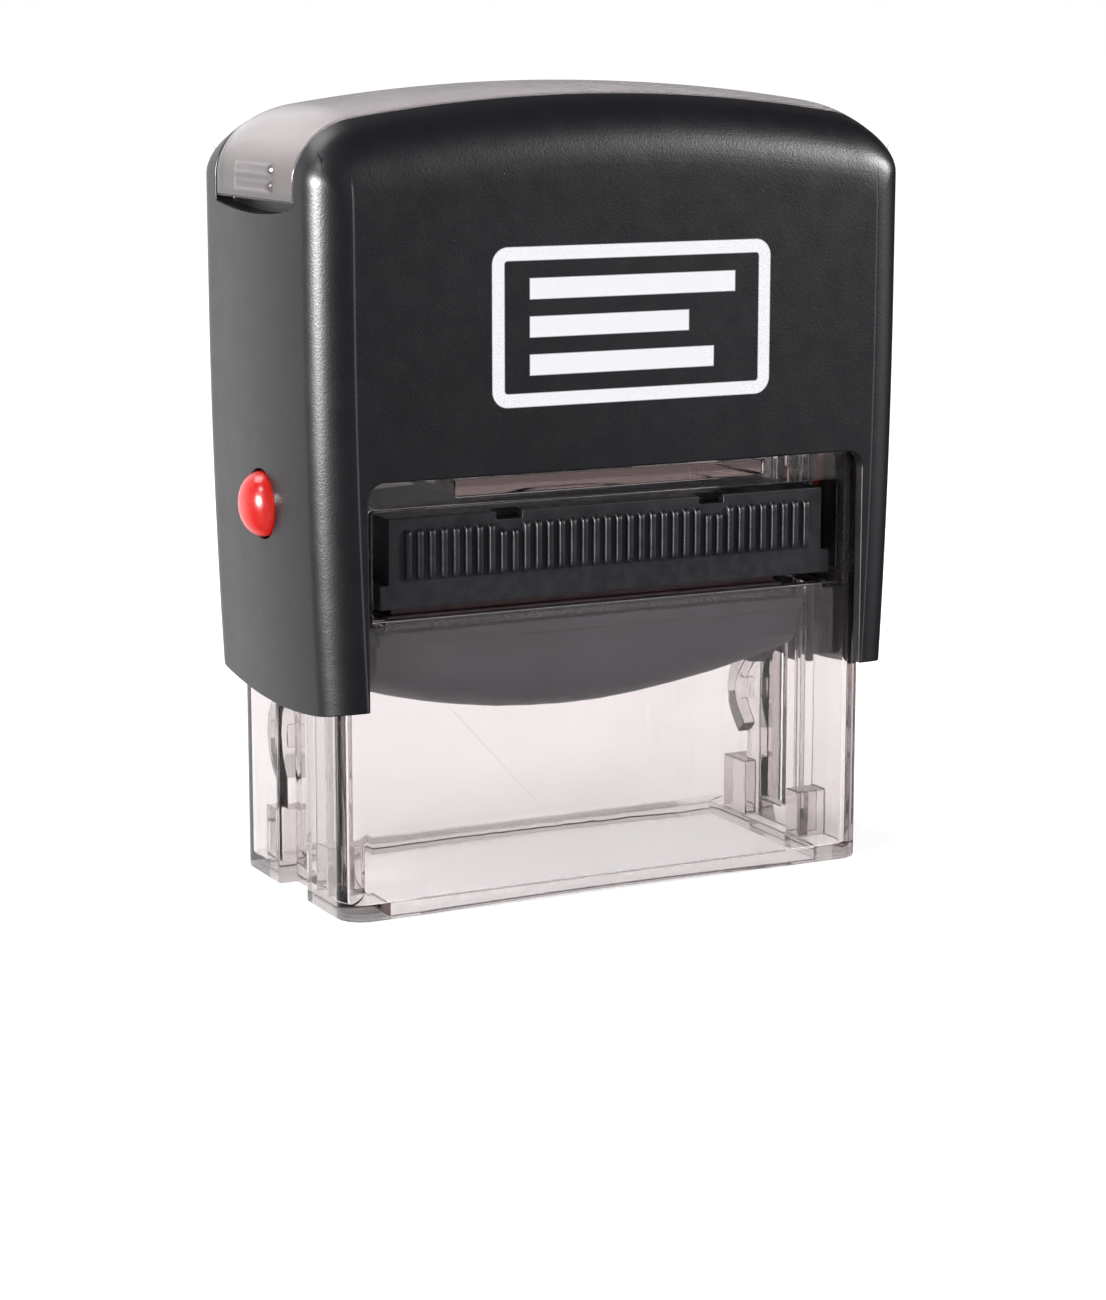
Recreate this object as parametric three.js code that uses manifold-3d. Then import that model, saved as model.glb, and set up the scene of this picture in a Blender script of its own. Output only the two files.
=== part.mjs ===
// Self-inking stamp for a 38 x 14 mm text plate: a press cap rides on a clear base frame
// and turns the platen half a turn between the ink cartridge and the paper.
// Millimetres, +Z up, the front face towards -Y. The origin is on the table under the middle.
import * as THREE from 'three';
import { mergeVertices } from 'three/addons/utils/BufferGeometryUtils.js';
import Module from 'manifold-3d';

const wasm = await Module();
wasm.setup();

// ---- driving dimensions -------------------------------------------------------------
const gap = 0.3;

// cap outside
const capHalfWidth = 27.5;
const capHalfDepth = 13.2;
const capCorner = 3.1;
const capWall = 1.15;
const taperStart = 50;
const taperLength = 32;
const taperDepth = 0.8;
const crownHeight = 7.8;
const crownPower = 2.8;
const archRadius = 145;
const shoulderX = 21.3;
const shoulderHeight = 60.4;
const shoulderRadius = 6.2;
const shoulderTurn = 81.6 * Math.PI / 180;
const shoulderSteps = 6;
const archSteps = 6;
const cutoutHalfWidth = 23.3;
const cutoutTop = 36.7;
const cutoutTopBehind = 34.0;
const cutoutCorner = 1.5;
const hemLowest = 16.8;
const hemCentreY = -1.5;
const hemRadius = 60;
const crownWall = 2.9;
const crownWallStart = 56.2;

// index window and card in the recess over the crown
const windowHalfDepth = 8.3;
const windowEnd = 58.8;
const windowThickness = 1.0;
const gripHeights = [60.0, 61.4];
const gripHalf = 4;
const gripProud = 0.25;
const cardHalfDepth = 7.8;
const cardOuter = 1.2;
const cardInner = 1.45;
const cardEnd = 59.4;
const recessHalfDepth = 8.6;
const recessFloor = 1.7;
const recessEnd = 57.7;
const recessArch = 0.7;

// base frame
const frameHalfWidth = 25;
const frameHalfDepth = 11.7;
const frameCorner = 2.3;
const frameWall = 1.3;
const frameTop = 38.4;
const frameFloor = 1.2;
const feetRise = 0.2;
const feetHalfSpan = 18;
const printHalfWidth = 20.6;
const printFront = -10.0;
const printBack = 8.6;
const channelHalf = 3.1;
const channelFloor = 23.3;
const bulgeHalf = 4.4;
const bulgeFace = 22.0;
const axleSlotHalf = 1.9;
const axleSlotLow = 2.9;
const axleSlotHigh = 22.6;
const lockSlotHalf = 1.6;
const lockSlotLow = 26.1;
const openingHalf = 22.3;
const openingLow = 25.1;
const openingHigh = 34.1;
const shelfHalf = 14.5;
const shelfLow = 34.9;
const seatHeight = 36.2;
const wellInner = 5.4;
const wellOuter = 6.6;
const railFace = 20.9;

// platen, its travel and its flip
const axleRest = 20.8;
const stroke = 16.1;
const lugOffset = 3.4;
const lugRadius = 0.9;
const axleRadius = 1.5;
const platenHalf = 20.4;
const plateHalfDepth = 7.8;
const bellyDepth = 6.4;
const bellyArc = 62.4;
const plateLow = 1.5;
const plateHigh = 2.6;
const foamHigh = 3.25;
const dieLow = 3.3;
const dieHigh = 3.8;
const reliefHigh = 4.5;

// ink cartridge
const trayLow = 25.9;
const trayFlangeHigh = 27.9;
const trayHigh = 33.4;
const trayHalf = 20.6;
const trayFlangeHalf = 21.4;
const trayFront = -10.9;
const trayBack = 10.1;
const padLow = 25.6;
const padHigh = 30.7;
const padHalfWidth = 19.0;
const padHalfDepth = 7.3;
const ribCount = 36;
const ribPitch = 1.08;

// yoke, buttons and spring
const armInner = 23.7;
const armOuter = 25.2;
const armHalf = 2.8;
const armLow = 16.4;
const bridgeLow = 54.8;
const bridgeHigh = 56;
const cupRoof = 62.8;
const cupTop = 64.2;
const postRadius = 2.75;
const postEnd = 53;
const buttonHeight = 33.7;
const buttonRadius = 2.75;
const buttonHole = 2.95;
const buttonProud = 1.5;
const flangeInner = 25.35;
const flangeOuter = 25.8;
const flangeHalfDepth = 2.9;
const flangeHalfHeight = 4.2;
const flangePocket = 24.2;
const domeStart = 27.4;
const domeSteps = 5;
const lockPin = 1.2;
const lockPinHole = 1.6;
const lockPinEnd = 23.6;
const springRadius = 4.3;
const wireRadius = 0.55;
const springTurns = 8;

// ---- helpers --------------------------------------------------------------------------

// A closed geometry becomes a solid once only its positions are left and shared.
function solid(geometry) {
  const bare = geometry.clone();
  bare.deleteAttribute('normal');
  bare.deleteAttribute('uv');
  const merged = mergeVertices(bare, 1e-4);
  const index = merged.index.array;
  const faces = [];
  for (let i = 0; i < index.length; i += 3) {
    const [a, b, c] = [index[i], index[i + 1], index[i + 2]];
    if (a !== b && b !== c && c !== a) faces.push(a, b, c);
  }
  return new wasm.Manifold(new wasm.Mesh({
    numProp: 3,
    vertProperties: merged.attributes.position.array,
    triVerts: new Uint32Array(faces),
  }));
}

function joined(solids) {
  return solids.reduce((whole, next) => whole.add(next));
}

function cutBy(body, tools) {
  return tools.reduce((whole, tool) => whole.subtract(tool), body);
}

function block(x, y, z) {
  const box = new THREE.BoxGeometry(x[1] - x[0], y[1] - y[0], z[1] - z[0]);
  box.translate((x[0] + x[1]) / 2, (y[0] + y[1]) / 2, (z[0] + z[1]) / 2);
  return solid(box);
}

function slab(halfX, halfY, low, high) {
  return block([-halfX, halfX], [-halfY, halfY], [low, high]);
}

// The same block on the left and the right side; x is measured outwards from the middle.
function pairOfBlocks(x, y, z) {
  return joined([block(x, y, z), block([-x[1], -x[0]], y, z)]);
}

function rodAlongX(radius, x, y, z, sides = 20) {
  const rod = new THREE.CylinderGeometry(radius, radius, x[1] - x[0], sides);
  rod.rotateZ(Math.PI / 2);
  rod.translate((x[0] + x[1]) / 2, y, z);
  return solid(rod);
}

function rodAlongZ(radius, z, sides = 24) {
  const rod = new THREE.CylinderGeometry(radius, radius, z[1] - z[0], sides);
  rod.rotateX(Math.PI / 2);
  rod.translate(0, 0, (z[0] + z[1]) / 2);
  return solid(rod);
}

function outline(points) {
  return new THREE.Shape(points.map(([u, v]) => new THREE.Vector2(u, v)));
}

// An outline in the YZ plane, carried along X.
function prismAlongX(points, x) {
  const shape = new THREE.ExtrudeGeometry(outline(points), { depth: x[1] - x[0], bevelEnabled: false });
  const axes = new THREE.Matrix4().makeBasis(
    new THREE.Vector3(0, 1, 0), new THREE.Vector3(0, 0, 1), new THREE.Vector3(1, 0, 0));
  shape.applyMatrix4(axes);
  shape.translate(x[0], 0, 0);
  return solid(shape);
}

// An outline in the XZ plane, carried along Y.
function prismAlongY(shape, y) {
  const body = new THREE.ExtrudeGeometry(shape, { depth: y[1] - y[0], bevelEnabled: false, curveSegments: 6 });
  body.rotateX(Math.PI / 2);
  body.translate(0, y[1], 0);
  return solid(body);
}

function roundedPlate(halfX, halfY, corner, low, high) {
  const shape = new THREE.Shape();
  const [x, y] = [halfX - corner, halfY - corner];
  shape.absarc(x, y, corner, 0, Math.PI / 2);
  shape.absarc(-x, y, corner, Math.PI / 2, Math.PI);
  shape.absarc(-x, -y, corner, Math.PI, 1.5 * Math.PI);
  shape.absarc(x, -y, corner, 1.5 * Math.PI, 2 * Math.PI);
  const body = new THREE.ExtrudeGeometry(shape, { depth: high - low, bevelEnabled: false, curveSegments: 8 });
  body.translate(0, 0, low);
  return solid(body);
}

// ---- the cap's outer form ---------------------------------------------------------------

// How far the section across the cap has drawn in at depth y: by a round corner on the
// sides, and by a superellipse on the crown.
function drawIn(y, inset) {
  const halfDepth = capHalfDepth - inset;
  const corner = Math.max(capCorner - inset, 0.7);
  const past = Math.max(0, Math.abs(y) - (halfDepth - corner));
  const side = corner - Math.sqrt(Math.max(0, corner * corner - past * past));
  const share = 1 - Math.min(1, Math.abs(y) / halfDepth) ** crownPower;
  const crown = (crownHeight - inset) * (1 - Math.max(0, share) ** (1 / crownPower));
  return { side, crown };
}

// The cap's outline at depth y, from the lower left over the crown to the lower right:
// tapered sides, round shoulders and one long arch.
function capOutline(y, inset) {
  const { side, crown } = drawIn(y, inset);
  const halfSide = [];
  for (const z of [8, 20, 30, 40, taperStart, shoulderHeight]) {
    const taper = taperDepth * (Math.max(0, taperStart - z) / taperLength) ** 2;
    halfSide.push([capHalfWidth - inset - taper - side, z]);
  }
  const radius = shoulderRadius - inset;
  for (let i = 1; i <= shoulderSteps; i += 1) {
    const turn = shoulderTurn * i / shoulderSteps;
    halfSide.push([shoulderX + (radius - side) * Math.cos(turn), shoulderHeight + (radius - crown) * Math.sin(turn)]);
  }
  const [archStart, archStartZ] = halfSide.at(-1);
  for (let i = 1; i <= archSteps; i += 1) {
    const x = archStart * (1 - i / archSteps);
    halfSide.push([x, archStartZ + (archStart * archStart - x * x) / (2 * archRadius)]);
  }
  const left = halfSide.map(([x, z]) => [-x, z]);
  return left.concat(halfSide.slice(0, -1).reverse());
}

// The cap's form, sunk by an inset on all sides: outlines carried from the front to the back.
function capForm(inset) {
  const reach = capHalfDepth - inset;
  const behind = [0, 0.35, 0.6, 0.78, 0.88, 0.95, 0.985, 1].map((share) => share * reach);
  const stations = behind.slice(1).reverse().map((y) => -y).concat(behind);
  const rows = stations.map((y) => capOutline(y, inset).map(([x, z]) => [x, y, z]));
  const count = rows[0].length;
  const faces = [];
  for (let row = 0; row + 1 < rows.length; row += 1) {
    for (let i = 0; i < count; i += 1) {
      const [a, b] = [row * count + i, row * count + (i + 1) % count];
      faces.push(a, b + count, a + count, a, b, b + count);
    }
  }
  const flat = (row) => row.map(([x, , z]) => new THREE.Vector2(x, z));
  const last = (rows.length - 1) * count;
  for (const [a, b, c] of THREE.ShapeUtils.triangulateShape(flat(rows[0]), [])) {
    faces.push(a, b, c);
  }
  for (const [a, b, c] of THREE.ShapeUtils.triangulateShape(flat(rows.at(-1)), [])) {
    faces.push(last + a, last + c, last + b);
  }
  const geometry = new THREE.BufferGeometry();
  geometry.setAttribute('position', new THREE.Float32BufferAttribute(rows.flat(2), 3));
  geometry.setIndex(faces);
  return solid(geometry);
}

// ---- cap ----------------------------------------------------------------------------------

// The opening in the front or back wall, with two round upper corners.
function cutoutOutline(top) {
  const cutout = new THREE.Shape();
  const x = cutoutHalfWidth;
  const cornerZ = top - cutoutCorner;
  cutout.moveTo(-x, 0);
  cutout.lineTo(x, 0);
  cutout.lineTo(x, cornerZ);
  cutout.absarc(x - cutoutCorner, cornerZ, cutoutCorner, 0, Math.PI / 2);
  cutout.absarc(-x + cutoutCorner, cornerZ, cutoutCorner, Math.PI / 2, Math.PI);
  cutout.lineTo(-x, 0);
  return cutout;
}

function makeCapShell() {
  const everything = 40;
  const low = capForm(capWall).intersect(slab(everything, everything, 0, crownWallStart));
  const cavity = low.add(capForm(crownWall));

  const hem = [[-20, 0], [20, 0]];
  for (let y = 20; y >= -20; y -= 4) {
    const across = y - hemCentreY;
    hem.push([y, hemLowest + hemRadius - Math.sqrt(hemRadius ** 2 - across ** 2)]);
  }

  const notch = [[recessHalfDepth, 75], [-recessHalfDepth, 75]];
  for (let i = 0; i <= 8; i += 1) {
    const t = i / 4 - 1;
    notch.push([t * recessHalfDepth, recessEnd + recessArch * t * t]);
  }
  const recess = prismAlongX(notch, [-everything, everything]).subtract(capForm(recessFloor));

  const holes = joined([
    rodAlongX(buttonHole, [24, everything], 0, buttonHeight, 24),
    rodAlongX(buttonHole, [-everything, -24], 0, buttonHeight, 24),
  ]);
  return cutBy(capForm(0), [
    cavity, recess, holes,
    prismAlongY(cutoutOutline(cutoutTop), [-everything, 0]),
    prismAlongY(cutoutOutline(cutoutTopBehind), [-0.1, everything]),
    prismAlongX(hem, [-everything, everything]),
  ]);
}

function makeIndexWindow() {
  const reach = slab(40, windowHalfDepth, windowEnd, 75);
  const grips = gripHeights.map((z) => pairOfBlocks(
    [capHalfWidth - 0.4, capHalfWidth + gripProud], [-gripHalf, gripHalf], [z - 0.4, z + 0.4]));
  return joined([capForm(0).intersect(reach).subtract(capForm(windowThickness)), ...grips]);
}

function makeIndexCard() {
  const reach = slab(40, cardHalfDepth, cardEnd, 75);
  return capForm(cardOuter).intersect(reach).subtract(capForm(cardInner));
}

// Two arms down the sides, a bridge across the cap, and a cup with a post for the spring.
function makeYoke() {
  const arms = pairOfBlocks([armInner, armOuter], [-armHalf, armHalf], [armLow, bridgeHigh]);
  const bridge = slab(armOuter, 6, bridgeLow, bridgeHigh);
  const cup = rodAlongZ(wellOuter, [bridgeLow, cupTop]).subtract(rodAlongZ(wellInner, [bridgeLow - 1, cupRoof]));
  const post = rodAlongZ(postRadius, [postEnd, cupRoof + 0.5], 16);
  const pocketHalf = flangeHalfHeight + gap;
  const pocket = pairOfBlocks([flangePocket, 30], [-armHalf - 1, armHalf + 1],
    [buttonHeight - pocketHalf, buttonHeight + pocketHalf]);
  return cutBy(arms.add(bridge), [rodAlongZ(wellInner, [50, 60])]).add(cup).add(post)
    .subtract(pocket)
    .subtract(rodAlongX(axleRadius + 0.15, [-30, 30], 0, axleRest))
    .subtract(rodAlongX(lockPinHole, [-30, 30], 0, buttonHeight));
}

// A domed button with a flange bar behind the cap's wall and a lock pin on its inner side.
function makeButton(side) {
  const profile = [[0, lockPinEnd], [lockPin, lockPinEnd], [lockPin, flangeInner],
    [buttonRadius, flangeInner], [buttonRadius, domeStart]];
  for (let i = 1; i < domeSteps; i += 1) {
    const angle = i / domeSteps * Math.PI / 2;
    const rise = (capHalfWidth + buttonProud - domeStart) * Math.sin(angle);
    profile.push([buttonRadius * Math.cos(angle), domeStart + rise]);
  }
  profile.push([0, capHalfWidth + buttonProud]);
  const turned = new THREE.LatheGeometry(profile.map(([r, h]) => new THREE.Vector2(r, h)), 24);
  turned.rotateZ(-side * Math.PI / 2);
  turned.translate(0, 0, buttonHeight);
  const ends = [side * flangeInner, side * flangeOuter].sort((a, b) => a - b);
  const flange = block(ends, [-flangeHalfDepth, flangeHalfDepth],
    [buttonHeight - flangeHalfHeight, buttonHeight + flangeHalfHeight]);
  return solid(turned).add(flange);
}

// A compression spring round the post, from the frame's seat to the cup's roof.
class Helix extends THREE.Curve {
  constructor(low, high) {
    super();
    this.low = low;
    this.high = high;
  }

  getPoint(t) {
    const angle = 2 * Math.PI * springTurns * t;
    return new THREE.Vector3(
      springRadius * Math.cos(angle), springRadius * Math.sin(angle), this.low + (this.high - this.low) * t);
  }
}

function makeSpring() {
  const section = new THREE.Shape();
  section.absarc(0, 0, wireRadius, 0, 2 * Math.PI);
  const path = new Helix(seatHeight + wireRadius + gap, cupRoof - wireRadius - gap);
  const steps = springTurns * 12;
  return solid(new THREE.ExtrudeGeometry(section, { steps, extrudePath: path, curveSegments: 3, bevelEnabled: false }));
}

// ---- base frame ---------------------------------------------------------------------------

// The cam hook follows the lug's path on its outer side while the platen turns.
function camHook() {
  const bandInner = 1.3;
  const bandOuter = 2.9;
  const inner = [];
  const outer = [];
  for (let i = 0; i <= 8; i += 1) {
    const angle = (35 + i * 13.75) * Math.PI / 180;
    const y = lugOffset * Math.sin(angle);
    const z = axleRest - stroke * angle / Math.PI - lugOffset * Math.cos(angle);
    const slope = new THREE.Vector2(lugOffset * Math.cos(angle), -stroke / Math.PI + lugOffset * Math.sin(angle));
    slope.normalize();
    inner.push([y - slope.y * bandInner, z + slope.x * bandInner]);
    outer.push([y - slope.y * bandOuter, z + slope.x * bandOuter]);
  }
  return outer.concat(inner.reverse());
}

function makeBaseFrame() {
  const outside = roundedPlate(frameHalfWidth, frameHalfDepth, frameCorner, 0, frameTop);
  const inside = roundedPlate(frameHalfWidth - frameWall, frameHalfDepth - frameWall,
    frameCorner - frameWall, frameFloor, frameTop - frameFloor);
  const hookOutline = camHook();
  const innerSides = [[railFace, frameHalfWidth - 1], [-frameHalfWidth + 1, -railFace]];
  const bulge = pairOfBlocks([bulgeFace, frameHalfWidth - 1], [-bulgeHalf, bulgeHalf], [0.5, frameTop - 0.5]);
  const rails = pairOfBlocks([railFace, frameHalfWidth - 1],
    [-frameHalfDepth + 1, frameHalfDepth - 1], [openingLow - 0.5, openingLow + 0.5]);
  const stopBlock = pairOfBlocks([railFace, frameHalfWidth - 1], [2.6, 6.7], [0.5, 6.2]);
  const guide = pairOfBlocks([railFace, frameHalfWidth - 1], [-6.7, -4.5], [0.5, 5.3]);
  const shelf = slab(shelfHalf, frameHalfDepth - 1, shelfLow, seatHeight);
  const well = rodAlongZ(wellOuter, [shelfLow, frameTop]);
  const hooks = joined(innerSides.map((x) => prismAlongX(hookOutline, x)));
  const structure = joined([outside.subtract(inside), bulge, rails, stopBlock, guide, shelf, well, hooks]);

  const arch = new THREE.Shape();
  const archR = (feetHalfSpan ** 2 + feetRise ** 2) / (2 * feetRise);
  const archHalf = Math.asin(feetHalfSpan / archR);
  arch.moveTo(-feetHalfSpan, -1);
  arch.lineTo(feetHalfSpan, -1);
  arch.absarc(0, feetRise - archR, archR, Math.PI / 2 - archHalf, Math.PI / 2 + archHalf);

  const channel = pairOfBlocks([channelFloor, 30], [-channelHalf, channelHalf], [-1, frameTop + 1]);
  const axleSlot = pairOfBlocks([20, 30], [-axleSlotHalf, axleSlotHalf], [axleSlotLow, axleSlotHigh]);
  const lockSlot = pairOfBlocks([20, 30], [-lockSlotHalf, lockSlotHalf],
    [lockSlotLow, buttonHeight + lockPinHole]);
  const mouth = slab(openingHalf, 20, openingLow, openingHigh).intersect(block([-30, 30], [-20, 0], [0, 50]));
  const print = block([-printHalfWidth, printHalfWidth], [printFront, printBack], [-1, frameFloor + 0.5]);
  return cutBy(structure, [
    rodAlongZ(wellInner, [seatHeight, frameTop + 1]),
    channel, axleSlot, lockSlot, mouth, print,
    prismAlongY(arch, [-20, 20]),
  ]);
}

// ---- ink cartridge --------------------------------------------------------------------------

function makeTray() {
  const flange = block([-trayFlangeHalf, trayFlangeHalf], [trayFront, trayBack], [trayLow, trayFlangeHigh]);
  const body = block([-trayHalf, trayHalf], [trayFront, trayBack - 0.4], [trayFlangeHigh - 0.1, trayHigh]);
  const pocket = slab(padHalfWidth + gap, padHalfDepth + gap, trayLow - 1, padHigh + gap);
  const relief = slab(padHalfWidth - 0.5, padHalfDepth, padHigh + 1.3, trayHigh + 1);
  const notches = [-9.6, 9.6].map((x) => block([x - 1.2, x + 1.2], [trayFront - 1, trayFront + 1.6], [32.7, 35]));
  const ribs = [];
  for (let i = 0; i < ribCount; i += 1) {
    const x = (i - (ribCount - 1) / 2) * ribPitch;
    ribs.push(block([x - 0.3, x + 0.3], [trayFront - 0.45, trayFront + 0.1], [28.2, 32.4]));
  }
  return cutBy(joined([flange, body, ...ribs]), [pocket, relief, ...notches]);
}

function makePad() {
  return slab(padHalfWidth, padHalfDepth, padLow, padHigh);
}

// ---- platen ---------------------------------------------------------------------------------

// The back of the platen is a D-shaped belly, deepest in the middle of its length.
function makeBelly() {
  const halfDepth = 7.2;
  const steps = 12;
  const arcSteps = 12;
  const rings = [];
  for (let i = 0; i <= steps; i += 1) {
    const x = platenHalf * (2 * i / steps - 1);
    const depth = bellyDepth - x * x / (2 * bellyArc);
    const section = [[x, halfDepth, axleRest + plateLow], [x, -halfDepth, axleRest + plateLow]];
    for (let k = 0; k <= arcSteps; k += 1) {
      const angle = k / arcSteps * Math.PI;
      section.push([x, -halfDepth * Math.cos(angle), axleRest - depth * Math.sin(angle)]);
    }
    rings.push(section);
  }
  const count = rings[0].length;
  const faces = [];
  for (let level = 0; level < steps; level += 1) {
    for (let k = 0; k < count; k += 1) {
      const [a, b] = [level * count + k, level * count + (k + 1) % count];
      faces.push(a, b + count, a + count, a, b, b + count);
    }
  }
  const last = steps * count;
  for (let k = 1; k + 1 < count; k += 1) {
    faces.push(0, k + 1, k);
    faces.push(last, last + k, last + k + 1);
  }
  const geometry = new THREE.BufferGeometry();
  geometry.setAttribute('position', new THREE.Float32BufferAttribute(rings.flat(2), 3));
  geometry.setIndex(faces);
  return solid(geometry);
}

function makePlaten() {
  const plate = slab(platenHalf, plateHalfDepth, axleRest + plateLow - 0.05, axleRest + plateHigh);
  const cheekRadius = 4.6;
  const cheeks = joined([[19.4, platenHalf], [-platenHalf, -19.4]].map((x) => rodAlongX(cheekRadius, x, 0, axleRest)))
    .intersect(slab(30, 10, 0, axleRest + plateHigh));
  const axles = joined([[19.5, 24.9], [-24.9, -19.5]].map((x) => rodAlongX(axleRadius, x, 0, axleRest)));
  const lugs = joined([[19.5, 21.6], [-21.6, -19.5]].map(
    (x) => rodAlongX(lugRadius, x, 0, axleRest - lugOffset, 14)));
  return joined([makeBelly(), plate, cheeks, axles, lugs]);
}

function makeFoam() {
  return slab(19.6, 7.2, axleRest + plateHigh + 0.05, axleRest + foamHigh);
}

// A plain rubber die: a border and three bars raised from the sheet, mirrored like any die.
function makeDie() {
  const relief = [axleRest + dieHigh - 0.1, axleRest + reliefHigh];
  const sheet = slab(19, 7, axleRest + dieLow, axleRest + dieHigh);
  const border = slab(18.5, 6.5, ...relief).subtract(slab(17.7, 5.7, axleRest, axleRest + 10));
  const bars = [[-3.9, 14.5], [0, 10.5], [3.9, 12.5]].map(
    ([y, half]) => block([-half, half], [y - 0.9, y + 0.9], relief));
  return joined([sheet, border, ...bars]);
}

// ---- assembly ---------------------------------------------------------------------------------

const group = new THREE.Group();

function place(name, body, colour, roughness) {
  const mesh = body.getMesh();
  const geometry = new THREE.BufferGeometry();
  geometry.setAttribute('position', new THREE.Float32BufferAttribute(mesh.vertProperties, mesh.numProp));
  geometry.setIndex(new THREE.BufferAttribute(mesh.triVerts, 1));
  geometry.computeVertexNormals();
  const material = new THREE.MeshStandardMaterial({ color: colour, roughness, metalness: 0 });
  const part = new THREE.Mesh(geometry, material);
  part.name = name;
  group.add(part);
  return part;
}

place('base_frame', makeBaseFrame(), 0xe6dedc, 0.08);
place('cartridge_tray', makeTray(), 0x1b1b1e, 0.5);
place('ink_pad', makePad(), 0x101014, 0.95);
place('cap_shell', makeCapShell(), 0x24232a, 0.42);
place('index_window', makeIndexWindow(), 0xcfc6c1, 0.1);
place('index_card', makeIndexCard(), 0xefe9df, 0.9);
place('yoke', makeYoke(), 0x1e1e22, 0.5);
place('main_spring', makeSpring(), 0x9a9ca0, 0.3).material.metalness = 1;
place('lock_button_left', makeButton(-1), 0xe0201c, 0.3);
place('lock_button_right', makeButton(1), 0xe0201c, 0.3);
place('platen', makePlaten(), 0x1c1c20, 0.5);
place('die_foam', makeFoam(), 0x3c3c40, 0.95);
place('text_die', makeDie(), 0x8c2f2a, 0.7);

export default group;
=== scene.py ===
import math

import bmesh
import bpy
import numpy as np
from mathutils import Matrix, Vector


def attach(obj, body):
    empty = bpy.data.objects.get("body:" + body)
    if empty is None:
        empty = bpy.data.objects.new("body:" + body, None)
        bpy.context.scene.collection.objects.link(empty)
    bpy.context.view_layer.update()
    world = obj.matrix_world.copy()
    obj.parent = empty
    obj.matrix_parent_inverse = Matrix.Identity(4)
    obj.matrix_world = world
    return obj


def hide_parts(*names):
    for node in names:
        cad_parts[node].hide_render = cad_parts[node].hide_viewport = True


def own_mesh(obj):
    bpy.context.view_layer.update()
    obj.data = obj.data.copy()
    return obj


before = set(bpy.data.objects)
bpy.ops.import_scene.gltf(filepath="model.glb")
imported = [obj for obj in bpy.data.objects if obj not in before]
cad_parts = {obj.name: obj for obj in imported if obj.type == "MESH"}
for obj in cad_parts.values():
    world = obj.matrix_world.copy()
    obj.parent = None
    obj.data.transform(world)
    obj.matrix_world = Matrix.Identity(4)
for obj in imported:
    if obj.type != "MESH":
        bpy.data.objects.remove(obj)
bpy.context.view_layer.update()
mm = 0.001
print("frame loaded")


# ---- shader helpers -----------------------------------------------------------------


# A socket that takes the arithmetic signs, so that a sum of sockets reads as it is meant.
class Flow:
    def __init__(self, tree, socket=None):
        self.tree = tree
        self.socket = socket

    def node(self, kind, settings=None, inputs=None, out=0):
        made = self.tree.nodes.new(kind)
        for name, value in (settings or {}).items():
            setattr(made, name, value)
        for name, value in (inputs or {}).items():
            if isinstance(value, Flow):
                self.tree.links.new(value.socket, made.inputs[name])
            else:
                made.inputs[name].default_value = value
        return Flow(self.tree, made.outputs[out])

    def maths(self, operation, *values):
        return self.node("ShaderNodeMath", {"operation": operation}, dict(enumerate(values)))

    def __add__(self, other):
        return self.maths("ADD", self, other)

    def __sub__(self, other):
        return self.maths("SUBTRACT", self, other)

    def __rsub__(self, other):
        return self.maths("SUBTRACT", other, self)

    def __mul__(self, other):
        return self.maths("MULTIPLY", self, other)

    def __truediv__(self, other):
        return self.maths("DIVIDE", self, other)

    def __rtruediv__(self, other):
        return self.maths("DIVIDE", other, self)

    def __pow__(self, other):
        return self.maths("POWER", self, other)

    def __abs__(self):
        return self.maths("ABSOLUTE", self)

    __radd__ = __add__
    __rmul__ = __mul__

    def atMost(self, other):
        return self.maths("MINIMUM", self, other)

    def atLeast(self, other):
        return self.maths("MAXIMUM", self, other)

    # From start below low to end above high, along a smooth step.
    def ramp(self, low, high, start=0.0, end=1.0):
        return self.node(
            "ShaderNodeMapRange",
            {"interpolation_type": "SMOOTHSTEP"},
            {"Value": self, "From Min": low, "From Max": high, "To Min": start, "To Max": end},
        )

    # The colour between two, by this share.
    def between(self, first, second):
        inputs = {0: self, 6: first, 7: second}
        return self.node("ShaderNodeMix", {"data_type": "RGBA"}, inputs, out=2)

    def bump(self, distance, strength=1.0):
        return self.node(
            "ShaderNodeBump", {}, {"Height": self, "Distance": distance, "Strength": strength}
        )


# The place on the object in millimetres, with its three axes and noise over it.
class Place:
    def __init__(self, tree):
        self.start = Flow(tree)
        metres = self.start.node("ShaderNodeTexCoord", out="Object")
        self.vector = self.start.node(
            "ShaderNodeVectorMath", {"operation": "SCALE"}, {0: metres, "Scale": 1 / mm}
        )
        self.x, self.y, self.z = (
            self.start.node("ShaderNodeSeparateXYZ", {}, {"Vector": self.vector}, out=axis)
            for axis in "XYZ"
        )

    def noise(self, perMm, detail=2.0, stretch=(1, 1, 1)):
        stretched = self.start.node(
            "ShaderNodeVectorMath", {"operation": "MULTIPLY"}, {0: self.vector, 1: stretch}
        )
        return self.start.node(
            "ShaderNodeTexNoise", {}, {"Vector": stretched, "Scale": perMm, "Detail": detail}
        )


def rgb(red, green, blue):
    return (red, green, blue, 1.0)


# constants go straight onto the shader; varied gives the sockets that follow a texture.
def material(name, constants, varied):
    made = bpy.data.materials.new(name)
    made.use_nodes = True
    shader = made.node_tree.nodes["Principled BSDF"]
    for socket, value in constants.items():
        shader.inputs[socket].default_value = value
    for socket, flow in varied(Place(made.node_tree)).items():
        made.node_tree.links.new(flow.socket, shader.inputs[socket])
    return made


# ---- mesh helpers -------------------------------------------------------------------

# metres, but for the flat angle in degrees
tolerance = {"weld": 1e-7, "cadWeld": 1e-6, "sliver": 2e-6, "flat": 0.08}


# Straight runs between stops, each cut into its count of steps.
def spaced(stops, counts):
    runs = [np.linspace(a, b, n, endpoint=False) for a, b, n in zip(stops, stops[1:], counts)]
    return np.concatenate(runs + [[stops[-1]]])


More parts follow.
